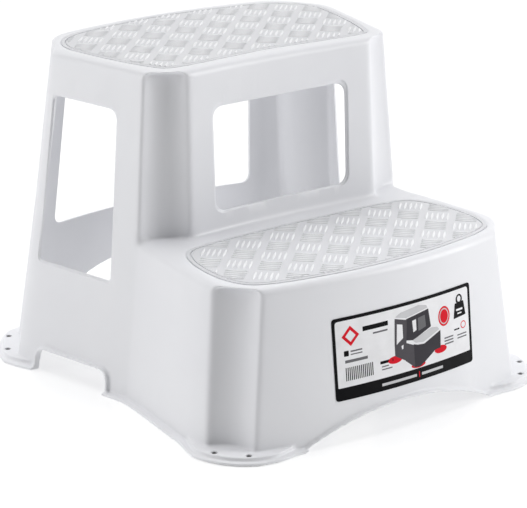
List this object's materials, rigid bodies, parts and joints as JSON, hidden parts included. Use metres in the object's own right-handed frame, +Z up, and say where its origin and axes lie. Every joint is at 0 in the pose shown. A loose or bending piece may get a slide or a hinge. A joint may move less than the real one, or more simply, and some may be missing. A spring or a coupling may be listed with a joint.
{
  "type": "step stool",
  "caption": "Moulded plastic step stool with a lower and an upper tread, hollow walls with windows and arches, flanged feet with clip-in grip pads, and a front label.",
  "frame": {"origin": "on the floor, at the centre of the footprint", "axes": "+Z up; -Y is the front, where the lower tread is; +X is to the right as seen from the front"},
  "size_m": [0.5474, 0.5498, 0.4],
  "materials": {
    "shell_plastic": "satin moulded polypropylene, cool white",
    "pad_rubber": "matte black rubber",
    "label_film": "printed semi-gloss film"
  },
  "bodies": {
    "root": {"moulded_shell": "shell_plastic", "front_label": "label_film", "front_left_grip_pad": "pad_rubber", "rear_left_grip_pad": "pad_rubber", "front_right_grip_pad": "pad_rubber", "rear_right_grip_pad": "pad_rubber"}
  },
  "joints": []
}
